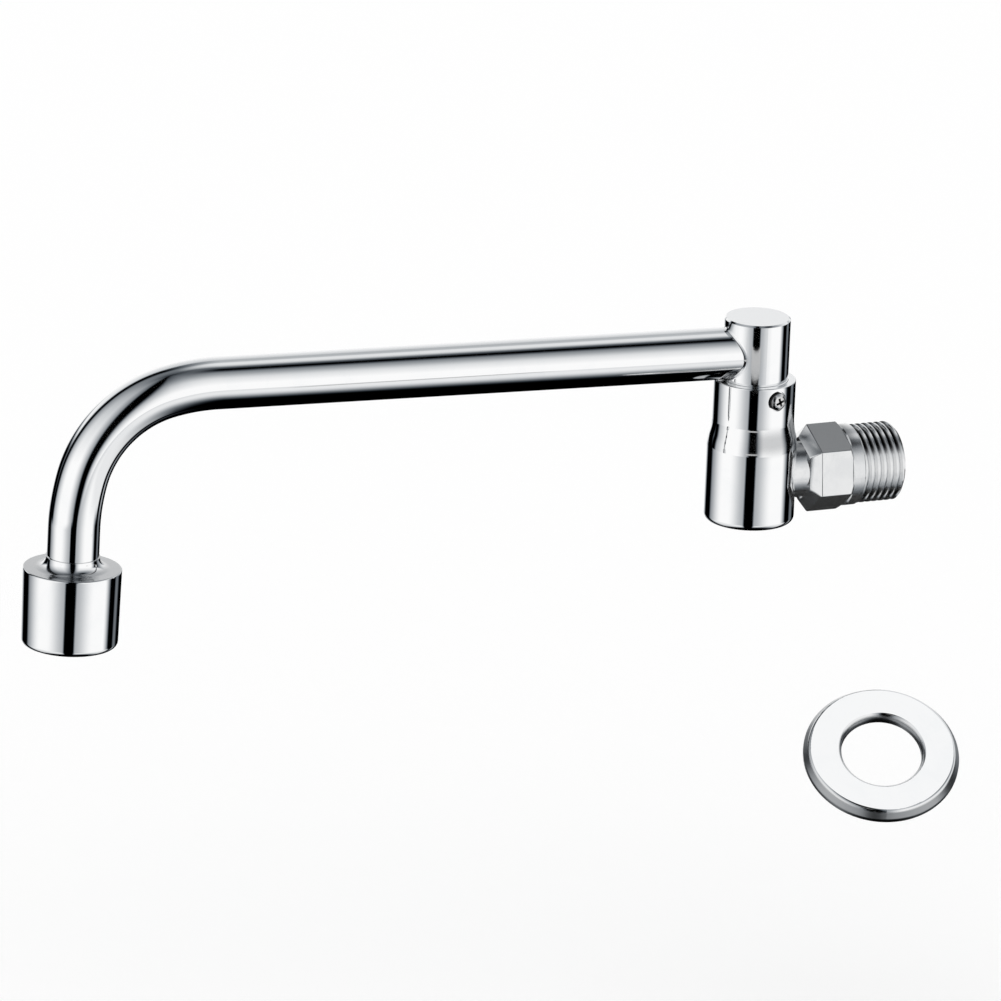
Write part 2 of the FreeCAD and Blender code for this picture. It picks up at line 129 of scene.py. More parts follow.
# %% Camera
camera_azimuth = math.radians(65.43)
camera_elevation = math.radians(17.735)
camera_roll = math.radians(2.56)
camera_distance = 8.0
pixels_per_mm = 3.787
frame_pixels = 1001
sensor_mm = 36.0
seen_point = Vector((0.0, -97.9, 10.0)) * MM
seen_pixel = (514.1, 459.3)

to_camera = Vector((math.sin(camera_azimuth), -math.cos(camera_azimuth), 0.0))
to_right = Vector((math.cos(camera_azimuth), math.sin(camera_azimuth), 0.0))
straight_up = Vector((0.0, 0.0, 1.0))
back = to_camera * math.cos(camera_elevation) + straight_up * math.sin(camera_elevation)
level_up = back.cross(to_right)
image_right = to_right * math.cos(camera_roll) + level_up * math.sin(camera_roll)
image_up = level_up * math.cos(camera_roll) - to_right * math.sin(camera_roll)
middle_pixel = frame_pixels / 2
shift_right = (middle_pixel - seen_pixel[0]) / pixels_per_mm * MM
shift_up = (seen_pixel[1] - middle_pixel) / pixels_per_mm * MM
look_at = seen_point + image_right * shift_right + image_up * shift_up

camera_data = bpy.data.cameras.new("camera")
camera_data.sensor_width = sensor_mm
camera_data.lens = sensor_mm * camera_distance / (frame_pixels / pixels_per_mm * MM)
camera_data.clip_start = 0.1
camera_data.clip_end = 50.0
camera = bpy.data.objects.new("camera", camera_data)
turn = Matrix((image_right, image_up, back)).transposed()
camera.matrix_world = Matrix.Translation(look_at + back * camera_distance) @ turn.to_4x4()
bpy.context.scene.collection.objects.link(camera)
bpy.context.scene.camera = camera
bpy.context.scene.view_settings.view_transform = "Standard"
print("lens", round(camera_data.lens, 1), "mm")

# %% [markdown]
# The frame says where every piece is. Its boxes give the places that the light, the finishes and
# the finer meshes are built to: the swivel axis from the thrust washer and the outlet axis from
# the aerator gasket, which are both round about those axes, and the turret from the spindle.

# %% Sizes read from the frame
def box_middle(name):
    low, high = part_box(name)
    return (low + high) / 2


swivel = box_middle("thrust_washer")
swivel.z = 0.0
outlet = box_middle("aerator_gasket")
outlet.z = 0.0
spout_reach = (outlet - swivel).length
arm_out = (outlet - swivel).normalized()
arm_side = straight_up.cross(arm_out)
spindle_low, spindle_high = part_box("swivel_spindle")
turret_r = (spindle_high.x - spindle_low.x) / 2
body_low, body_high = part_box("body_housing")
body_foot = body_low.z
rim = body_high.z
lower_r = swivel.x - body_low.x
tube_low, tube_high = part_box("spout_tube")
outlet_low, outlet_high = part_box("outlet_housing")
outlet_r = (outlet_high.x - outlet_low.x) / 2
print("turret radius", round(turret_r / MM, 2), "outlet radius", round(outlet_r / MM, 2),
      "arm length", round(spout_reach / MM, 2))

# %% [markdown]
# A photographer lights chrome by what it mirrors: large white sheets all round it, with dark
# gaps between them that draw black lines down the metal, a dim ceiling and a dark floor.
# All of that is one world shader. It asks how far each mirrored ray points from a few places, and
# every such distance dims the white. A heading is told in degrees from the camera, to the right of
# the picture, and an elevation in degrees above the horizon. Only mirrors see the sheets. Diffuse
# light is a plain white sky, so the light on the floor stays soft and even.

# %% Studio light: where a ray points
class Ray:
    """The mirrored ray of a world shader, measured against the camera's own directions."""

    def __init__(self, tree):
        self.tree = tree
        self.ray = add_node(tree, "ShaderNodeTexCoord").outputs["Generated"]
        self.heading = self.degrees(math_node(tree, "ARCTAN2", self.along(to_right), self.along(to_camera)))
        self.elevation = self.degrees(math_node(tree, "ARCSINE", self.along(straight_up)))

    def degrees(self, value):
        return math_node(self.tree, "DEGREES", value)

    def along(self, direction):
        return vector_node(self.tree, "DOT_PRODUCT", self.ray, direction)

    def beside(self, heading):
        """Degrees to the right of a heading, from -180 to 180."""
        turns = math_node(self.tree, "DIVIDE", math_node(self.tree, "SUBTRACT", self.heading, heading), 360.0)
        part = math_node(self.tree, "FRACT", math_node(self.tree, "ADD", turns, 0.5))
        return math_node(self.tree, "MULTIPLY", math_node(self.tree, "SUBTRACT", part, 0.5), 360.0)

    def distance(self, heading, elevation):
        """Degrees away from a place in the surroundings."""
        a, e = math.radians(heading), math.radians(elevation)
        level = (to_right * math.sin(a) + to_camera * math.cos(a)) * math.cos(e)
        return self.degrees(math_node(self.tree, "ARCCOSINE", self.along(level + straight_up * math.sin(e))))


# %% [markdown]
# A gap is black in its middle. On each side the sheet next to it starts grey and brightens
# slowly, because its light falls off towards its edge. That slow change is what makes a chrome
# cylinder look round. A row holds a gap's heading, its half width, the width of its soft edge,
# how far the grey reaches to the left and to the right, and how dark the grey starts. A short
# gap is open at the top: it also holds the two elevations between which it fades out.

# %% Studio light: gaps between the sheets
level_gaps = [(-134.0, 12.0, 9.0, 40.0, 60.0, 0.25),
              (-0.5, 10.5, 5.0, 56.0, 58.0, 0.42),
              (114.0, 8.0, 5.0, 28.0, 70.0, 0.12)]
high_gap = (2.5, 7.5, 8.0, 42.0, 30.0, 0.3)
short_gaps = [
    ((110.0, 8.0, 6.0, 30.0, 60.0, 0.15), (12.0, 25.0)),
    ((-135.0, 11.0, 7.0, 24.0, 30.0, 0.5), (4.0, 18.0)),
]
low_gaps = [(-134.0, 12.0, 9.0, 30.0, 40.0, 0.4),
            (-0.5, 10.5, 5.0, 22.0, 22.0, 0.6),
            (119.0, 7.0, 5.0, 14.0, 18.0, 0.7)]


def gap(tree, ray, heading, half_width, edge, shade_left, shade_right, darkest):
    beside = ray.beside(heading)
    right = ramp(tree, beside, half_width, shade_right)
    left = ramp(tree, beside, -half_width, -shade_left)
    shade = scaled(tree, math_node(tree, "MAXIMUM", left, right), darkest)
    middle = ramp(tree, math_node(tree, "ABSOLUTE", beside), half_width, half_width + edge)
    return product(tree, middle, shade)


def patch(tree, ray, heading, elevation, start, end):
    """Grows from 0 to 1 between two distances from a place in the surroundings."""
    return ramp(tree, ray.distance(heading, elevation), start, end)


# %% [markdown]
# The world joins three belts: the sheets high up under the dim ceiling, the level belt that every
# upright cylinder mirrors, and the low belt above the dark floor. The bright back panel has
# a curved gap round it, which draws the dark line down the outside of the bend. A lamp or a dark
# place holds its heading, its elevation, and the two distances from it between which it ends.

# %% Studio light: the world
high_above = (-16.3, -14.0)
low_below = (-19.3, -24.0)
ceiling_reach = 80.0
ceiling_fall = 0.75
ceiling_hole = (76.0, 67.5)
hole_core = (2.0, 15.0)
hole_shade = (10.0, 42.0)
hole_darkest = 0.5
ceiling_lamp = (152.0, 64.0, 24.0, 3.0)
ceiling_lamp_light = 0.78
panel_place = (-160.0, 8.0)
curve_middle = 49.0
curve_half = 4.0
curve_edge = 13.0
curve_shade = 42.0
curve_darkest = 0.4
curve_heading = -120.0
curve_fades = (80.0, 42.0)
low_light = 0.84
floor_patches = [(30.0, -70.0, 14.0, 44.0), (168.0, -50.0, 15.0, 48.0), (0.0, -90.0, 24.0, 36.0)]
far_edge = (158.0, -22.0, 14.0, 26.0)
warm_power = 1.05
cool_power = 0.95
sky_white = (1.0, 1.0, 1.0, 1.0)


def high_belt(tree, ray):
    from_zenith = math_node(tree, "SUBTRACT", 90.0, ray.elevation)
    spread = math_node(tree, "MINIMUM", math_node(tree, "DIVIDE", from_zenith, ceiling_reach), 1.0)
    from_hole = ray.distance(*ceiling_hole)
    ceiling = product(tree, ramp(tree, from_hole, *hole_core),
                      scaled(tree, ramp(tree, from_hole, *hole_shade), hole_darkest),
                      math_node(tree, "POWER", spread, ceiling_fall))
    lamp = product(tree, patch(tree, ray, *ceiling_lamp), ceiling_lamp_light)
    off_gap = math_node(tree, "SUBTRACT", ray.distance(*panel_place), curve_middle)
    inside = ramp(tree, off_gap, -curve_half, -curve_edge)
    outside = ramp(tree, off_gap, curve_half, curve_shade)
    curved = product(tree, ramp(tree, math_node(tree, "ABSOLUTE", off_gap), curve_half, curve_edge),
                     scaled(tree, math_node(tree, "MAXIMUM", inside, outside), curve_darkest))
    away = math_node(tree, "ABSOLUTE", ray.beside(curve_heading))
    curved = mix_values(tree, ramp(tree, away, *curve_fades), 1.0, curved)
    parts = [math_node(tree, "MAXIMUM", ceiling, lamp), curved]
    for row, ends in short_gaps:
        parts.append(math_node(tree, "MAXIMUM", gap(tree, ray, *row), ramp(tree, ray.elevation, *ends)))
    return product(tree, *parts, gap(tree, ray, *high_gap))


def low_belt(tree, ray):
    floors = [patch(tree, ray, *row) for row in floor_patches]
    return product(tree, *floors, low_light, *[gap(tree, ray, *row) for row in low_gaps])


def studio_world():
    world = bpy.data.worlds.new("studio")
    world.use_nodes = True
    tree = world.node_tree
    tree.nodes.clear()
    ray = Ray(tree)
    level = product(tree, *[gap(tree, ray, *row) for row in level_gaps])
    light = mix_values(tree, ramp(tree, ray.elevation, *high_above), level, high_belt(tree, ray))
    light = mix_values(tree, ramp(tree, ray.elevation, *low_below), light, low_belt(tree, ray))
    light = product(tree, light, patch(tree, ray, *far_edge))
    red = math_node(tree, "POWER", light, warm_power)
    blue = math_node(tree, "POWER", light, cool_power)
    mirrored = add_node(tree, "ShaderNodeCombineColor", {0: red, 1: light, 2: blue}).outputs[0]
    path = add_node(tree, "ShaderNodeLightPath")
    shown = mix_colours(tree, path.outputs["Is Glossy Ray"], sky_white, mirrored)
    sky = add_node(tree, "ShaderNodeBackground", {"Color": shown})
    add_node(tree, "ShaderNodeOutputWorld", {"Surface": sky.outputs[0]})
    bpy.context.scene.world = world
    print("world nodes:", len(tree.nodes))


studio_world()

# %% [markdown]
# The small flange faces the ceiling, so it has a lamp of its own: a soft white card held close
# above it. The card glows on its lower side only, and only mirrors see it.

# %% A white card for the flange
flange_card_away = 40 * MM
flange_face = Vector((0.581, -0.186, 0.793)).normalized()


def made_object(name, shape, material=None):
    """Turn a bmesh into an object of the scene."""
    mesh = bpy.data.meshes.new(name)
    shape.to_mesh(mesh)
    shape.free()
    if material:
        mesh.materials.append(material)
    made = bpy.data.objects.new(name, mesh)
    bpy.context.scene.collection.objects.link(made)
    return made


def standing_at(centre, direction):
    """The matrix of a thing that stands at a point and faces in a direction."""
    return Matrix.Translation(centre) @ direction.to_track_quat("Z", "Y").to_matrix().to_4x4()


def white_card(name, centre, towards, half_wide, half_high, light, soft_edge):
    """A glowing card; the soft edge is a share of its width and height."""
    shape = bmesh.new()
    shape.loops.layers.uv.new("card")
    bmesh.ops.create_grid(shape, x_segments=1, y_segments=1, size=1.0, calc_uvs=True)
    bmesh.ops.scale(shape, verts=shape.verts, vec=(half_wide, half_high, 1.0))
    bmesh.ops.transform(shape, verts=shape.verts, matrix=standing_at(centre, towards))
    material = bpy.data.materials.new(name)
    material.use_nodes = True
    tree = material.node_tree
    tree.nodes.clear()
    glow = add_node(tree, "ShaderNodeEmission", {"Color": (0.99, 0.995, 1.0, 1.0), "Strength": light})
    clear = add_node(tree, "ShaderNodeBsdfTransparent")
    behind = add_node(tree, "ShaderNodeNewGeometry").outputs["Backfacing"]
    across = add_node(tree, "ShaderNodeSeparateXYZ", {0: add_node(tree, "ShaderNodeTexCoord").outputs["UV"]})
    lit = [math_node(tree, "SUBTRACT", 1.0, behind)]
    for i in (0, 1):
        from_middle = math_node(tree, "ABSOLUTE", math_node(tree, "SUBTRACT", across.outputs[i], 0.5))
        lit.append(ramp(tree, from_middle, 0.5, 0.5 - soft_edge))
    both = add_node(tree, "ShaderNodeMixShader",
                    {0: product(tree, *lit), 1: clear.outputs[0], 2: glow.outputs[0]})
    add_node(tree, "ShaderNodeOutputMaterial", {"Surface": both.outputs[0]})
    card = made_object(name, shape, material)
    card.visible_camera = False
    card.visible_diffuse = False
    card.visible_shadow = False
    print(name, "stands at", [round(v, 3) for v in centre])


mirrored_up = (flange_face * (2 * flange_face.dot(back)) - back).normalized()
white_card("flange_card", box_middle("wall_flange") + mirrored_up * flange_card_away, -mirrored_up,
           half_wide=34 * MM, half_high=34 * MM, light=0.97, soft_edge=0.03)

# %% [markdown]
# A second, narrow card stands in front, where the lower half of the turret mirrors it. It fills the
# dark gap beside the spout's joint, and leaves it black above. Closer by, it would also draw a
# streak along the spout, and farther away its edge would blur into the body.

# %% A narrow card for the turret
turret_card_away = 150 * MM
turret_card_seen_at = 33.2 * MM
turret_card = swivel + to_camera * turret_card_away
turret_card.z = turret_card_seen_at - (turret_card_away - turret_r) * math.tan(camera_elevation)
white_card("turret_card", turret_card, -to_camera,
           half_wide=48 * MM, half_high=4.8 * MM, light=0.5, soft_edge=0.15)

# %% [markdown]
# The floor is a wide pale plane well below the tap, so its soft shadow stays faint. Mirrors
# ignore it, and from underneath it is clear, so that the tap can be seen from below.

# %% Floor
floor_drop = 60 * MM
floor_half = 6.0


def pale_floor():
    shape = bmesh.new()
    bmesh.ops.create_grid(shape, x_segments=1, y_segments=1, size=floor_half)
    bmesh.ops.translate(shape, verts=shape.verts, vec=(0, 0, cad_box[0].z - floor_drop))
    material = bpy.data.materials.new("pale_floor")
    material.use_nodes = True
    tree = material.node_tree
    paint = tree.nodes["Principled BSDF"]
    paint.inputs["Base Color"].default_value = (0.995, 0.995, 0.995, 1.0)
    paint.inputs["Roughness"].default_value = 0.9
    paint.inputs["Specular IOR Level"].default_value = 0.0
    clear = add_node(tree, "ShaderNodeBsdfTransparent")
    behind = add_node(tree, "ShaderNodeNewGeometry").outputs["Backfacing"]
    both = add_node(tree, "ShaderNodeMixShader", {0: behind, 1: paint.outputs[0], 2: clear.outputs[0]})
    tree.links.new(both.outputs[0], tree.nodes["Material Output"].inputs["Surface"])
    floor = made_object("floor", shape, material)
    floor.visible_glossy = False
    print("the floor lies", round(floor_drop / MM), "mm below the tap")


pale_floor()

# %% [markdown]
# Real surfaces are never even. The effects that several finishes share are node groups, each with
# named inputs, and every finish mixes them in its own strength. The facing and sunken masks also
# say where shade is painted. They read the piece's own coordinates or its normal, so a mark stays
# on its place when the arm swings.

# %% Effects that the finishes share
origin = (0.0, 0.0, 0.0)


def new_group(name, output, **inputs):
    """Start a node group with one output. An input whose value is a tuple is a vector."""
    group = bpy.data.node_groups.new(name, "ShaderNodeTree")
    for socket, value in inputs.items():
        kind = "NodeSocketVector" if isinstance(value, tuple) else "NodeSocketFloat"
        group.interface.new_socket(socket, in_out="INPUT", socket_type=kind).default_value = value
    group.interface.new_socket(output, in_out="OUTPUT", socket_type="NodeSocketFloat")
    return group, add_node(group, "NodeGroupInput").outputs


def end_group(group, value):
    add_node(group, "NodeGroupOutput", {0: value})
    print("effect:", group.name, "nodes:", len(group.nodes))
    return group


def smudges_group():
    """Wide soft patches where hands and cloths have passed."""
    group, given = new_group("smudges", "Mask", Position=origin, Scale=90.0)
    wide = add_node(group, "ShaderNodeTexNoise", {"Vector": given["Position"], "Scale": given["Scale"],
                                                  "Detail": 3.0, "Roughness": 0.6, "Distortion": 0.7})
    return end_group(group, ramp(group, wide.outputs[0], 0.42, 0.72))


def fine_marks_group():
    """Thin marks drawn out along one direction, as a height."""
    group, given = new_group("fine_marks", "Height", Position=origin, Stretch=(1.0, 1.0, 1.0), Scale=900.0)
    drawn = vector_node(group, "MULTIPLY", given["Position"], given["Stretch"])
    marks = add_node(group, "ShaderNodeTexNoise", {"Vector": drawn, "Scale": given["Scale"], "Detail": 4.0,
                                                   "Roughness": 0.65})
    return end_group(group, marks.outputs[0])


def turning_marks_group():
    """Rings left by a lathe tool along an axis, as a height."""
    group, given = new_group("turning_marks", "Height", Position=origin, Axis=(0.0, 1.0, 0.0), Pitch=0.00018)
    along = vector_node(group, "DOT_PRODUCT", given["Position"], given["Axis"])
    turns = product(group, math_node(group, "DIVIDE", along, given["Pitch"]), 2 * math.pi)
    wobble = add_node(group, "ShaderNodeTexNoise", {"Vector": given["Position"], "Scale": 400.0})
    phase = math_node(group, "ADD", turns, product(group, wobble.outputs[0], 5.0))
    return end_group(group, math_node(group, "SINE", phase))


def specks_group():
    """Small scattered grains, such as dust or a moulded skin."""
    group, given = new_group("specks", "Mask", Position=origin, Scale=1200.0, Size=0.3)
    cells = add_node(group, "ShaderNodeTexVoronoi", {"Vector": given["Position"], "Scale": given["Scale"]})
    near = math_node(group, "SUBTRACT", given["Size"], cells.outputs["Distance"])
    return end_group(group, ramp(group, near, 0.0, 0.15))


def facing_group():
    """Grows from 0 to 1 as a surface turns from one slope to another; 1 faces along the axis."""
    group, given = new_group("facing", "Mask", Axis=(0.0, 0.0, 1.0), From=0.0, To=1.0)
    normal = add_node(group, "ShaderNodeTexCoord").outputs["Normal"]
    slope = vector_node(group, "DOT_PRODUCT", normal, given["Axis"])
    return end_group(group, ramp(group, slope, given["From"], given["To"]))


def sunken_group():
    """Grows from 0 to 1 with the depth below a level, measured along an axis."""
    group, given = new_group("sunken", "Mask", Position=origin, Axis=(1.0, 0.0, 0.0), Level=0.0, Depth=0.001)
    along = vector_node(group, "DOT_PRODUCT", given["Position"], given["Axis"])
    below = math_node(group, "SUBTRACT", given["Level"], along)
    return end_group(group, ramp(group, below, 0.0, given["Depth"]))


smudges = smudges_group()
fine_marks = fine_marks_group()
turning_marks = turning_marks_group()
specks = specks_group()
facing = facing_group()
sunken = sunken_group()

# %% [markdown]
# Each finish starts the same way: the Principled shader and the Object position. It ends the same
# way too, with a colour, a roughness, and a bump fed by a height in metres. The numbers in
# between say how strong each effect is.

# %% Helpers for finishes
MICRON = 0.000001


class Finish:
    def __init__(self, name, metallic=0.0):
        self.material = bpy.data.materials.new(name)
        self.material.use_nodes = True
        self.tree = self.material.node_tree
        self.shader = self.tree.nodes["Principled BSDF"]
        self.shader.inputs["Metallic"].default_value = metallic
        self.position = add_node(self.tree, "ShaderNodeTexCoord").outputs["Object"]

    def effect(self, group, **inputs):
        """Add a shared effect; every group but facing asks for the position."""
        if group is not facing:
            inputs["Position"] = self.position
        return add_node(self.tree, "ShaderNodeGroup", inputs, node_tree=group).outputs[0]

    def between(self, share, low, high):
        return mix_values(self.tree, share, low, high)

    def colour(self, share, first, second):
        return mix_colours(self.tree, share, first, second)

    def done(self, colour, roughness, height, distance):
        bump = add_node(self.tree, "ShaderNodeBump", {"Height": height, "Distance": distance}).outputs[0]
        for name, socket in (("Base Color", colour), ("Roughness", roughness), ("Normal", bump)):
            self.tree.links.new(socket, self.shader.inputs[name])
        print("finish:", self.material.name, "nodes:", len(self.tree.nodes))
        return self.material


def grey(value, blue=0.0):
    return (value - blue, value, value + blue, 1.0)


# %% [markdown]
# Polished chrome is nearly a perfect mirror. Its roughness changes where cloths and fingers
# have passed, and flat tops are rougher from the facing tool. Flat tops and undersides are also
# painted darker: painted shade. One side of the body's step is painted darker and made rougher, and
# the rolled rims of the flange are too: painted shade. On the nipple the hexagon is painted dark on
# top, and the grooves of the thread are painted dark inside, but not at mid height: painted shade.

# %% Polished and machined chrome
shaded_side = Vector((0.416, 0.909, 0.0))
hex_end = 25.4 * MM
collar_end = 28.9 * MM
crest_r = 10.4775 * MM
root_r = 9.3155 * MM
groove_shade_depth = (crest_r - 0.1 * MM, root_r + 0.35 * MM)
groove_shade_heights = (4.2 * MM, 7.0 * MM)


def smudged_plate(finish):
    smudge = finish.effect(smudges, Scale=110.0)
    return smudge, finish.colour(smudge, grey(0.962, 0.002), grey(0.945, 0.006))


def polished_chrome(name="polished_chrome", shaded_ring=None, top_shade_tone=0.86, top_from=0.93):
    """The ring is two heights, between which one side gets painted shade and more roughness, and the width of
    its edge.
    """
    finish = Finish(name, metallic=1.0)
    smudge, plate = smudged_plate(finish)
    # Flat tops are rougher from the facing tool, and painted darker: painted shade.
    top = finish.effect(facing, From=top_from, To=0.995)
    # Undersides are painted darker: painted shade.
    shaded_underside = finish.effect(facing, From=-0.14, To=-0.6)
    plate = finish.colour(top, plate, grey(top_shade_tone, 0.008))
    plate = finish.colour(shaded_underside, plate, grey(0.5, 0.008))
    rubbed = finish.between(smudge, 0.022, 0.06)
    # One side of the step is painted darker and made rougher: painted shade.
    if shaded_ring:
        tree = finish.tree
        low, high, soft = shaded_ring
        height = add_node(tree, "ShaderNodeSeparateXYZ", {0: finish.position}).outputs[2]
        beside = vector_node(tree, "DOT_PRODUCT", finish.position, shaded_side)
        middle = swivel.dot(shaded_side)
        ring = product(tree, ramp(tree, height, low - soft, low + soft),
                       ramp(tree, height, high + soft, high - soft),
                       ramp(tree, beside, middle - soft, middle + soft))
        plate = finish.colour(ring, plate, grey(0.6, 0.008))
        rubbed = finish.between(ring, rubbed, 0.11)
    return finish.done(plate, finish.between(top, rubbed, 0.16),
                       finish.effect(fine_marks, Scale=420.0), 2.5 * MICRON)


def flange_chrome():
    """The flange was stamped and plated. Its rolled rims are rougher than its face, and painted darker:
    painted shade.
    """
    finish = Finish("flange_chrome", metallic=1.0)
    smudge, plate = smudged_plate(finish)
    off_face = finish.effect(facing, Axis=flange_face, From=0.9, To=0.45)
    off_back = finish.effect(facing, Axis=flange_face, From=-0.95, To=-0.5)
    # The rims are painted darker: painted shade.
    rims = product(finish.tree, off_face, off_back)
    return finish.done(finish.colour(rims, plate, grey(0.36, 0.01)),
                       finish.between(rims, finish.between(smudge, 0.03, 0.06), 0.3),
                       finish.effect(fine_marks, Scale=420.0), 2.5 * MICRON)


def machined_chrome():
    finish = Finish("machined_chrome", metallic=0.94)
    tree = finish.tree
    smudge = finish.effect(smudges, Scale=150.0)
    place = vector_node(tree, "SUBTRACT", finish.position, swivel)
    parts = add_node(tree, "ShaderNodeSeparateXYZ", {0: place}).outputs
    across = vector_node(tree, "MULTIPLY", place, (1.0, 0.0, 1.0))
    # Painted shade: the thread's grooves near its top and bottom are painted nearly black.
    sunk = ramp(tree, vector_node(tree, "LENGTH", across), *groove_shade_depth)
    on_thread = ramp(tree, parts[1], hex_end, collar_end)
    high_or_low = ramp(tree, math_node(tree, "ABSOLUTE", parts[2]), *groove_shade_heights)
    off_thread = math_node(tree, "SUBTRACT", 1.0, on_thread)
    # The hexagon's top is painted darker: painted shade.
    top = finish.effect(facing, From=0.5, To=0.85)
    plate = finish.colour(smudge, grey(0.81, 0.004), grey(0.76, 0.008))
    plate = finish.colour(product(tree, top, off_thread), plate, grey(0.3, 0.006))
    plate = finish.colour(product(tree, sunk, on_thread, high_or_low), plate, grey(0.03))
    rings = finish.effect(turning_marks, Pitch=0.00021)
    return finish.done(plate, finish.between(smudge, 0.07, 0.11), rings, 0.8 * MICRON)


# %% [markdown]
# The screw is bare steel. Its cross and the side of its head are painted nearly black and made
# rough: painted shade. The spring is drawn wire, with marks along the wire. The turned brass is
# tarnished in patches.

# %% Steel and brass
screw_heading = math.radians(10.5)
screw_out = Vector((math.cos(screw_heading), math.sin(screw_heading), 0.0))
screw_head_top = 12.2 * MM
recess_shade_level = screw_head_top - 0.55 * MM
recess_shade_depth = 0.35 * MM


def screw_steel():
    finish = Finish("screw_steel", metallic=1.0)
    level = swivel.dot(screw_out) + recess_shade_level
    # Below the head's top, the cross and the side of the head are painted nearly black: painted shade.
    recess_shade = finish.effect(sunken, Axis=screw_out, Level=level, Depth=recess_shade_depth)
    smudge = finish.effect(smudges, Scale=600.0)
    bright = finish.colour(smudge, grey(0.78), grey(0.6, -0.01))
    return finish.done(finish.colour(recess_shade, bright, grey(0.03)),
                       finish.between(recess_shade, finish.between(smudge, 0.1, 0.24), 0.6),
                       finish.effect(fine_marks, Stretch=(1.0, 1.0, 0.15), Scale=2200.0), 4 * MICRON)


def spring_steel():
    finish = Finish("spring_steel", metallic=1.0)
    smudge = finish.effect(smudges, Scale=500.0)
    return finish.done(finish.colour(smudge, grey(0.55), (0.46, 0.43, 0.38, 1.0)),
                       finish.between(smudge, 0.25, 0.42),
                       finish.effect(fine_marks, Stretch=(0.2, 1.0, 0.2), Scale=3000.0), 4 * MICRON)


def plain_brass():
    finish = Finish("plain_brass", metallic=1.0)
    tarnish = finish.effect(smudges, Scale=220.0)
    return finish.done(finish.colour(tarnish, (0.86, 0.66, 0.34, 1.0), (0.55, 0.38, 0.17, 1.0)),
                       finish.between(tarnish, 0.2, 0.38),
                       finish.effect(turning_marks, Pitch=0.00024), 2 * MICRON)


# %% [markdown]
# The seals are moulded black rubber with a fine matt skin and a little grease. The bearing ring and
# the washer are white PTFE, which looks waxy. The aerator is grey moulded plastic.

# %% Rubber and plastics
def black_rubber():
    finish = Finish("black_rubber")
    grease = finish.effect(smudges, Scale=320.0)
    skin = finish.effect(specks, Scale=5200.0, Size=0.45)
    return finish.done(finish.colour(skin, grey(0.016), grey(0.034)),
                       finish.between(grease, 0.62, 0.3), skin, 6 * MICRON)


def white_ptfe():
    finish = Finish("white_ptfe")
    worn = finish.effect(smudges, Scale=280.0)
    marks = finish.effect(fine_marks, Stretch=(1.0, 1.0, 4.0), Scale=1400.0)
    return finish.done(finish.colour(worn, (0.87, 0.87, 0.84, 1.0), (0.74, 0.73, 0.68, 1.0)),
                       finish.between(marks, 0.36, 0.55), marks, 8 * MICRON)


def aerator_plastic():
    finish = Finish("aerator_plastic")
    scale = finish.effect(smudges, Scale=420.0)
    skin = finish.effect(specks, Scale=4200.0, Size=0.4)
    return finish.done(finish.colour(scale, (0.62, 0.64, 0.66, 1.0), (0.78, 0.78, 0.75, 1.0)),
                       finish.between(scale, 0.3, 0.55), skin, 5 * MICRON)


# %% [markdown]
# Every CAD node names the slot of its finish, and the finish of that name goes there. Three pieces
# get a chrome of their own: the body with its step, the outlet head and the flange.

# %% Finishes for the pieces
finishes = {make.__name__: make() for make in (polished_chrome, machined_chrome, screw_steel, spring_steel,
                                               plain_brass, black_rubber, white_ptfe, aerator_plastic)}
# One side of the body's step is painted darker: painted shade.
step_chrome = polished_chrome("step_chrome", shaded_ring=(9.0 * MM, 14.4 * MM, 2.0 * MM))
# The outlet head's top is painted much darker: painted shade.
outlet_chrome = polished_chrome("outlet_chrome", top_shade_tone=0.5, top_from=0.55)
plain = 0
for obj in nodes.values():
    for i, given in enumerate(obj.data.materials):
        slot = given.name.split(".")[0] if given else ""
        plain += slot not in finishes
        obj.data.materials[i] = finishes.get(slot, finishes["polished_chrome"])
nodes["wall_flange"].data.materials[0] = flange_chrome()
print("slots without a finish of their own:", plain)

# %% [markdown]
# A lathe makes most of this tap. The helper draws half of the outline as a chain of edges, spins it
# once round, and then rounds the corners that ask for it with a bevel. Long smooth faces keep
# true reflections because the normals are weighted by the size of the faces.

# %% A helper for turned shapes
smooth_steps = 144
sharp_angle = math.radians(32)


def turned(corners, steps=smooth_steps, segments=6):
    """Spin (radius, height, rounding) corners, in metres, once round the Z axis."""
    shape = bmesh.new()
    points = [shape.verts.new((corner[0], 0.0, corner[1])) for corner in corners]
    chain = [shape.edges.new(pair) for pair in zip(points, points[1:] + points[:1])
             if (pair[0].co.x > 0 or pair[1].co.x > 0)]
    bmesh.ops.spin(shape, geom=points + chain, cent=(0, 0, 0), axis=(0, 0, 1), dvec=(0, 0, 0),
                   angle=2 * math.pi, steps=steps, use_merge=True)
    bmesh.ops.remove_doubles(shape, verts=shape.verts, dist=1e-7)
    for i, corner in enumerate(corners):
        if len(corner) > 2:
            here = Vector((corner[0], corner[1]))
            before = (Vector(corners[i - 1][:2]) - here).normalized()
            after = (Vector(corners[(i + 1) % len(corners)][:2]) - here).normalized()
            reach = corner[2] / math.tan(before.angle(after) / 2)
            rings = [e for e in shape.edges if all(at_ring(v, corner) for v in e.verts)]
            bmesh.ops.bevel(shape, geom=rings, offset=reach, offset_type="OFFSET", segments=segments,
                            profile=0.5, affect="EDGES", material=-1)
    return closed(shape)


def at_ring(vert, corner):
    radius = math.hypot(vert.co.x, vert.co.y)
    return abs(radius - corner[0]) < 1e-6 and abs(vert.co.z - corner[1]) < 1e-6


def closed(shape):
    """Fill the ends that are still open, and turn all faces outwards."""
    bmesh.ops.holes_fill(shape, edges=[e for e in shape.edges if e.is_boundary], sides=0)
    bmesh.ops.recalc_face_normals(shape, faces=shape.faces)
    return shape


def moved(shape, place):
    bmesh.ops.transform(shape, matrix=place, verts=shape.verts)
    return shape


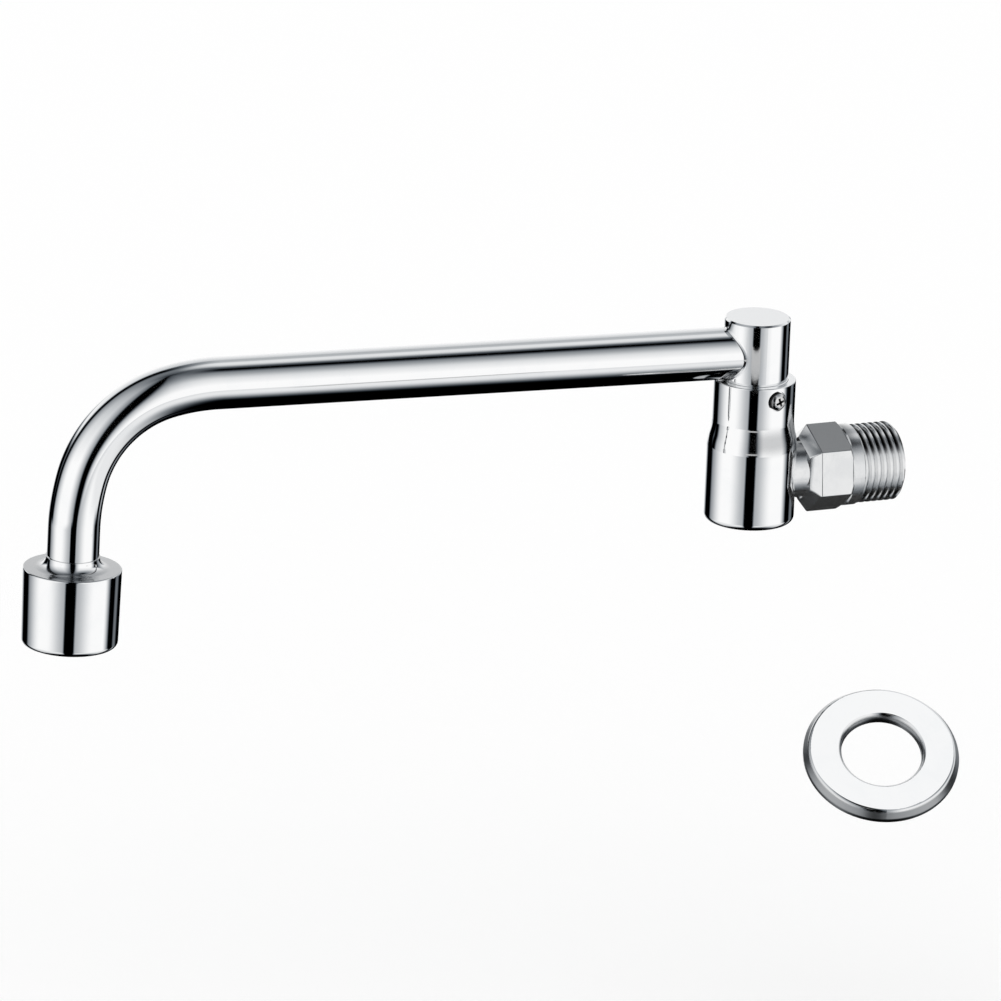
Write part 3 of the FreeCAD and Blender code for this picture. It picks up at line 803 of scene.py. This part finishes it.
def finished(name, shape, body, node, slot, finish=None):
    """Turn a bmesh into a piece that stands for a CAD node and rides on its body."""
    for face in shape.faces:
        face.smooth = True
    for edge in shape.edges:
        edge.smooth = not edge.is_manifold or edge.calc_face_angle() < sharp_angle
    open_edges = sum(1 for edge in shape.edges if not edge.is_manifold)
    piece = made_object(name, shape, finishes[slot])
    piece.modifiers.new("weighted", "WEIGHTED_NORMAL").keep_sharp = True
    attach(piece, body)
    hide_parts(node)
    if finish:
        piece.data.materials[0] = finish
    print(name, "faces", len(piece.data.polygons), "open edges", open_edges)


# %% [markdown]
# Some shapes are joined or cut before they are finished. The helper lends both shapes to a
# boolean modifier for a moment and takes the result back as a mesh.

# %% A helper for joining and cutting
def combined(shape, tool, operation):
    """Join, cut or intersect two closed shapes and give back one."""
    lent = [made_object("lent", part) for part in (shape, tool)]
    boolean = lent[0].modifiers.new("boolean", "BOOLEAN")
    boolean.operation = operation
    boolean.solver = "EXACT"
    boolean.object = lent[1]
    bpy.context.view_layer.update()
    evaluated = lent[0].evaluated_get(bpy.context.evaluated_depsgraph_get())
    result = bmesh.new()
    result.from_mesh(evaluated.to_mesh())
    evaluated.to_mesh_clear()
    for each in lent:
        mesh = each.data
        bpy.data.objects.remove(each)
        bpy.data.meshes.remove(mesh)
    bmesh.ops.remove_doubles(result, verts=result.verts, dist=1e-7)
    return result


def cylinder(radius, start, end, segments=64):
    shape = bmesh.new()
    bmesh.ops.create_cone(shape, cap_ends=True, segments=segments, radius1=radius, radius2=radius,
                          depth=(end - start).length, matrix=standing_at((start + end) / 2, end - start))
    return shape


# %% [markdown]
# The spout is one bent tube. A real bender eases into the curve and out of it again, so the bend
# is three spins of one circle: a wide short arc, the main arc, and a wide short arc again. The
# reflections then glide round the corner instead of breaking where a plain arc would begin.

# %% Spout tube
tube_r = 6.95 * MM
tube_wall = 1.0 * MM
tube_z = tube_high.z - tube_r
tube_start = turret_r - 3.5 * MM
easing_angle = math.radians(14)
easing_ratio = 1.9
easing_steps = 10
bend_radius = 38.0 * MM
bend_steps = 36
around_tube = 72


def circle(shape, segments, radius, place):
    """A ring of vertices and edges, ready to be drawn on."""
    made = bmesh.ops.create_circle(shape, cap_ends=False, segments=segments, radius=radius, matrix=place)
    return made["verts"] + list({e for v in made["verts"] for e in v.link_edges})


def verts_of(items):
    return [item for item in items if isinstance(item, bmesh.types.BMVert)]


def edges_of(items):
    return [item for item in items if isinstance(item, bmesh.types.BMEdge)]


def extruded(shape, items, vector):
    """Draw a ring of edges on by a vector and give back the new ring."""
    made = bmesh.ops.extrude_edge_only(shape, edges=edges_of(items))["geom"]
    verts = verts_of(made)
    edges = [edge for edge in edges_of(made) if all(v in verts for v in edge.verts)]
    bmesh.ops.translate(shape, verts=verts, vec=vector)
    return verts + edges


def ring_middle(items):
    verts = verts_of(items)
    return sum((v.co for v in verts), Vector()) / len(verts)


def spout_path(shape, ring):
    """Carry a ring of edges along the straight, round the eased bend and down."""
    eased, wide = math.sin(easing_angle), math.cos(easing_angle)
    # Each way, the bend takes up as much room as a plain quarter circle of bend_radius
    tight = bend_radius / (easing_ratio * (eased + 1 - wide) + wide - eased)
    ends = extruded(shape, ring, arm_out * (spout_reach - bend_radius - tube_start))
    heading = arm_out.copy()
    for angle, radius, steps in ((easing_angle, easing_ratio * tight, easing_steps),
                                 (math.pi / 2 - 2 * easing_angle, tight, bend_steps),
                                 (easing_angle, easing_ratio * tight, easing_steps)):
        inward = arm_side.cross(heading).normalized()
        spun = bmesh.ops.spin(shape, geom=ends, cent=ring_middle(ends) + inward * radius, axis=arm_side,
                              dvec=(0, 0, 0), angle=angle, steps=steps, use_merge=False)
        ends = [item for item in spun["geom_last"] if not isinstance(item, bmesh.types.BMFace)]
        heading = Matrix.Rotation(angle, 3, arm_side) @ heading
    return extruded(shape, ends, Vector((0, 0, tube_low.z - ring_middle(ends).z)))


def spout_tube():
    shape = bmesh.new()
    start = standing_at(swivel + arm_out * tube_start + straight_up * tube_z, arm_out)
    first = []
    last = []
    for radius in (tube_r, tube_r - tube_wall):
        ring = circle(shape, around_tube, radius, start)
        first += edges_of(ring)
        last += edges_of(spout_path(shape, ring))
    bmesh.ops.bridge_loops(shape, edges=first)
    bmesh.ops.bridge_loops(shape, edges=last)
    finished("bent_spout", closed(shape), "swing_arm", "spout_tube", "polished_chrome")


spout_tube()

# %% [markdown]
# Where the tube meets the turret, braze fills the corner and is polished into a saddle. The fillet
# starts as a circle round the tube. Each further ring is drawn on from the last and pushed
# outwards along the tube's radius and in towards the turret, as a quarter circle would go.
# The first and last rings are sunk a little into the metal, so no gap can show.

# %% Saddle fillet
fillet_out = 0.6 * MM
fillet_along = 0.5 * MM
fillet_sunk = 0.15 * MM
fillet_proud = 0.01 * MM
fillet_steps = 8
rim_clearance = 0.12 * MM


def place_fillet_ring(ring, out, along):
    """Put a ring at a height over the tube and a distance from the turret."""
    axis_point = swivel + straight_up * tube_z
    for vert in verts_of(ring):
        offset = vert.co - axis_point
        angle = math.atan2(offset.dot(arm_side), offset.z)
        radius = tube_r + out
        if math.cos(angle) < 0:
            radius = min(radius, (tube_z - rim - rim_clearance) / -math.cos(angle))
        beside = radius * math.sin(angle)
        reach = math.sqrt(turret_r ** 2 - beside ** 2) + along
        vert.co = axis_point + arm_out * reach + arm_side * beside + straight_up * radius * math.cos(angle)


def saddle_fillet():
    shape = bmesh.new()
    first = circle(shape, around_tube, tube_r, standing_at(swivel + straight_up * tube_z, arm_out))
    place_fillet_ring(first, -fillet_sunk, fillet_along)
    ring = first
    for i in range(fillet_steps + 1):
        turn = math.pi / 2 * i / fillet_steps
        ring = extruded(shape, ring, Vector())
        place_fillet_ring(ring, fillet_proud + fillet_out * (1 - math.cos(turn)),
                          fillet_proud + fillet_along * (1 - math.sin(turn)))
    ring = extruded(shape, ring, Vector())
    place_fillet_ring(ring, fillet_out, -fillet_sunk)
    bmesh.ops.bridge_loops(shape, edges=edges_of(first + ring))
    finished("saddle_fillet", closed(shape), "swing_arm", "spout_braze", "polished_chrome")


saddle_fillet()

# %% [markdown]
# The outlet head is a cup with a flat top and a flared neck that grips the tube. It is turned in
# one go, outside and inside, with soft corners where the plate has rounded them.

# %% Outlet head
neck_r = tube_r + 0.3 * MM
flare_radius = 2.9 * MM
outlet_top = outlet_high.z - 3.2 * MM
top_rounding = 0.45 * MM
foot_rounding = 1.5 * MM
outlet_taper = 0.35 * MM
cavity_r = 10.3 * MM
mouth_rounding = 0.15 * MM


def outlet_head():
    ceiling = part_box("aerator_gasket")[1].z
    inner = tube_r - tube_wall
    shape = turned([
        (tube_r, outlet_high.z),
        (neck_r, outlet_high.z),
        (neck_r, outlet_top, flare_radius),
        (outlet_r, outlet_top, top_rounding),
        (outlet_r - outlet_taper, outlet_low.z, foot_rounding),
        (cavity_r, outlet_low.z, mouth_rounding),
        (cavity_r, ceiling),
        (inner, ceiling),
        (inner, tube_low.z),
        (tube_r, tube_low.z),
    ])
    moved(shape, Matrix.Translation(outlet))
    finished("outlet_head", shape, "swing_arm", "outlet_housing", "polished_chrome", outlet_chrome)


outlet_head()

# %% [markdown]
# The body is a stout little tower: slim above, wider below a soft step, bored from the top. The
# screw's pocket, its hole and the inlet's socket are cut out of it.

# %% Body shell
upper_r = lower_r - 1.1 * MM
bore_r = turret_r + 0.05 * MM
floor_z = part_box("thrust_washer")[0].z
foot_edge = 1.8 * MM
step_low = 9.7 * MM
step_high = 13.7 * MM
step_rounding = 13.0 * MM
rim_edge = 0.35 * MM
bore_edge = 0.3 * MM
screw_z = box_middle("limit_screw").z
screw_hole_r = 1.3 * MM
pocket_r = 2.8 * MM
pocket_depth = 0.8 * MM
cut_beyond = 2 * MM
socket_r = 6.0 * MM
socket_from = 0.6 * bore_r
socket_to = 1.2 * lower_r


def body_shell():
    shape = turned([
        (0, body_foot),
        (lower_r, body_foot, foot_edge),
        (lower_r, step_low, step_rounding),
        (upper_r, step_high, step_rounding),
        (upper_r, rim, rim_edge),
        (bore_r, rim, bore_edge),
        (bore_r, floor_z),
        (0, floor_z),
    ], segments=10)
    moved(shape, Matrix.Translation(swivel))
    level = swivel + straight_up * screw_z
    outside = level + screw_out * (upper_r + cut_beyond)
    to_wall = Vector((0.0, 1.0, 0.0))
    for cut in (cylinder(pocket_r, level + screw_out * (upper_r - pocket_depth), outside),
                cylinder(screw_hole_r, level + screw_out * (bore_r - cut_beyond), outside, 32),
                cylinder(socket_r, swivel + to_wall * socket_from, swivel + to_wall * socket_to)):
        shape = combined(shape, cut, "DIFFERENCE")
    finished("body_shell", shape, "tap_body", "body_housing", "polished_chrome", step_chrome)


body_shell()

# %% [markdown]
# The nipple carries the pipe thread, which is one real helix: the outline of its ridges is spun
# once round while it climbs by one pitch, and the turns are merged into one surface. What
# overshoots at either end is folded flat on the collar or on the end face. From the thread's
# foot, ring after ring is drawn on: collar, core, neck and spigot. A ring without a height lies
# on the round side of the body.

# %% Inlet thread and core
thread_pitch = 1.814 * MM
root_half = 0.1 * MM
flank = math.radians(27.5)
thread_steps = 96
first_groove = collar_end + 1.12 * MM
inlet_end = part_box("inlet_nipple")[1].y - swivel.y
end_chamfer = 0.9 * MM
end_ring_r = 9.2 * MM
collar_ring_r = 10.5 * MM
core_rings_mm = [(10.8, 28.6), (10.8, 25.7), (10.5, 25.42), (9.4, 25.35), (9.4, 16.3), (7.5, 13.9),
                 (7.5, None), (6.0, None), (6.0, 9.3)]


def fold_thread(vert):
    """Keep a thread vertex between the collar and the end face, under the end chamfer."""
    radius = math.hypot(vert.co.x, vert.co.y)
    height = vert.co.z
    allowed = crest_r - max(0.0, height - (inlet_end - end_chamfer))
    wanted = min(radius, allowed)
    if height > inlet_end:
        wanted, height = end_ring_r, inlet_end
    if height < collar_end:
        wanted, height = collar_ring_r, collar_end
    vert.co = (vert.co.x * wanted / radius, vert.co.y * wanted / radius, height)


def threaded_core():
    shape = bmesh.new()
    half = root_half + (crest_r - root_r) * math.tan(flank)
    corners = []
    middle = first_groove - 2 * thread_pitch
    while middle < inlet_end + thread_pitch:
        corners += [(crest_r, middle - half), (root_r, middle - root_half), (root_r, middle + root_half),
                    (crest_r, middle + half)]
        middle += thread_pitch
    points = [shape.verts.new((radius, 0.0, height)) for radius, height in corners]
    chain = [shape.edges.new(pair) for pair in zip(points, points[1:])]
    bmesh.ops.spin(shape, geom=points + chain, cent=(0, 0, 0), axis=(0, 0, 1),
                   dvec=(0, 0, thread_pitch / thread_steps), angle=2 * math.pi, steps=thread_steps)
    for vert in shape.verts:
        fold_thread(vert)
    bmesh.ops.remove_doubles(shape, verts=shape.verts, dist=2e-6)
    bmesh.ops.dissolve_degenerate(shape, dist=1e-7, edges=shape.edges)
    loop = [edge for edge in shape.edges if edge.is_boundary and
            all(abs(v.co.z - collar_end) < 1e-6 for v in edge.verts)]
    ring = list({v for edge in loop for v in edge.verts}) + loop
    print("thread foot edges:", len(loop))
    for radius, height in core_rings_mm:
        ring = extruded(shape, ring, Vector())
        for vert in verts_of(ring):
            flat = Vector((vert.co.x, vert.co.y, 0.0)).normalized() * radius * MM
            depth = math.sqrt(lower_r ** 2 - flat.x ** 2) if height is None else height * MM
            vert.co = (flat.x, flat.y, depth)
    return closed(shape)


# %% [markdown]
# The hexagon widens from the neck over a faceted cone, and a lathe has left a chamfer at its far
# end. It is joined to the threaded core, and the waterway is cut through both.

# %% Inlet nipple
hex_foot = 13.9 * MM
hex_foot_r = 7.5 * MM
hex_turn = math.radians(-6.3)
cone_end = 16.3 * MM
hex_apothem = 10.3 * MM
hex_rounding = 0.22 * MM
chamfer_r = 12.6 * MM
chamfer_end_r = 10.6 * MM
chamfer_length = 1.2 * MM
chamfer_beyond = 0.05 * MM
mouth_r = 7.2 * MM
mouth_bevel = 0.4 * MM
waterway_mm = [(0, 4.0), (4.1, 4.0), (4.1, 20.94), (6.2, 20.94), (6.2, 24.94), (7.2, 24.94)]


def hexagon_head():
    shape = bmesh.new()
    foot = Matrix.Translation((0, 0, hex_foot)) @ Matrix.Rotation(hex_turn, 4, "Z")
    ring = circle(shape, 6, hex_foot_r / math.cos(math.pi / 6), foot)
    ring = extruded(shape, ring, Vector((0, 0, cone_end - hex_foot)))
    grow = hex_apothem / hex_foot_r
    bmesh.ops.scale(shape, verts=verts_of(ring), vec=(grow, grow, 1.0))
    extruded(shape, ring, Vector((0, 0, hex_end - cone_end)))
    closed(shape)
    rounded = [e for e in shape.edges if sum(v.co.z for v in e.verts) / 2 > hex_foot + 0.1 * MM]
    bmesh.ops.bevel(shape, geom=rounded, offset=hex_rounding, segments=3, profile=0.5, affect="EDGES",
                    offset_type="OFFSET", material=-1)
    chamfer = turned([(0, hex_foot - MM), (chamfer_r, hex_foot - MM), (chamfer_r, hex_end - chamfer_length),
                      (chamfer_end_r, hex_end + chamfer_beyond), (0, hex_end + chamfer_beyond)], steps=96)
    return combined(shape, chamfer, "INTERSECT")


def inlet_nipple():
    mouth = [(mouth_r, inlet_end - mouth_bevel), (mouth_r + mouth_bevel, inlet_end),
             (mouth_r + mouth_bevel, inlet_end + MM), (0, inlet_end + MM)]
    waterway = turned([(radius * MM, height * MM) for radius, height in waterway_mm] + mouth, steps=96)
    shape = combined(threaded_core(), hexagon_head(), "UNION")
    shape = combined(shape, waterway, "DIFFERENCE")
    moved(shape, Matrix.Translation(swivel) @ Matrix.Rotation(-math.pi / 2, 4, "X"))
    finished("threaded_nipple", shape, "tap_body", "inlet_nipple", "machined_chrome")


inlet_nipple()

# %% [markdown]
# The limit screw has a small domed head. Its cross is cut by two tapered blades, wide at the top
# and narrow at the bottom, as a real driver recess is.

# %% Limit screw
stub_r = 1.0 * MM
stub_reach = 0.9 * MM
shank_r = 1.25 * MM
head_r = 2.4 * MM
head_edge = 0.8 * MM
head_rounding = 0.5 * MM
dome_r = 1.5 * MM
dome_fall = 0.04 * MM
dome_rounding = 1.2 * MM
recess_turn = math.radians(20.0)
recess_depth = 1.2 * MM
recess_above = 0.4 * MM
recess_top = (2.9 * MM, 0.78 * MM)
recess_foot = (1.5 * MM, 0.42 * MM)


def cross_blade(turn):
    shape = bmesh.new()
    bmesh.ops.create_cube(shape, size=1.0)
    for vert in shape.verts:
        high = vert.co.z > 0
        length, width = recess_top if high else recess_foot
        vert.co = (math.copysign(length / 2, vert.co.x), math.copysign(width / 2, vert.co.y),
                   screw_head_top + (recess_above if high else -recess_depth))
    return moved(shape, Matrix.Rotation(turn, 4, "Z"))


def limit_screw():
    tip = turret_r - stub_reach
    seat = upper_r - pocket_depth
    shape = turned([(0, tip), (stub_r, tip), (stub_r, bore_r), (shank_r, bore_r), (shank_r, seat),
                    (head_r, seat), (head_r, screw_head_top - head_edge, head_rounding),
                    (dome_r, screw_head_top - dome_fall, dome_rounding), (0, screw_head_top)], steps=64)
    for turn in (recess_turn, recess_turn + math.pi / 2):
        shape = combined(shape, cross_blade(turn), "DIFFERENCE")
    moved(shape, standing_at(swivel + straight_up * screw_z, screw_out))
    finished("cross_screw", shape, "tap_body", "limit_screw", "screw_steel")


limit_screw()
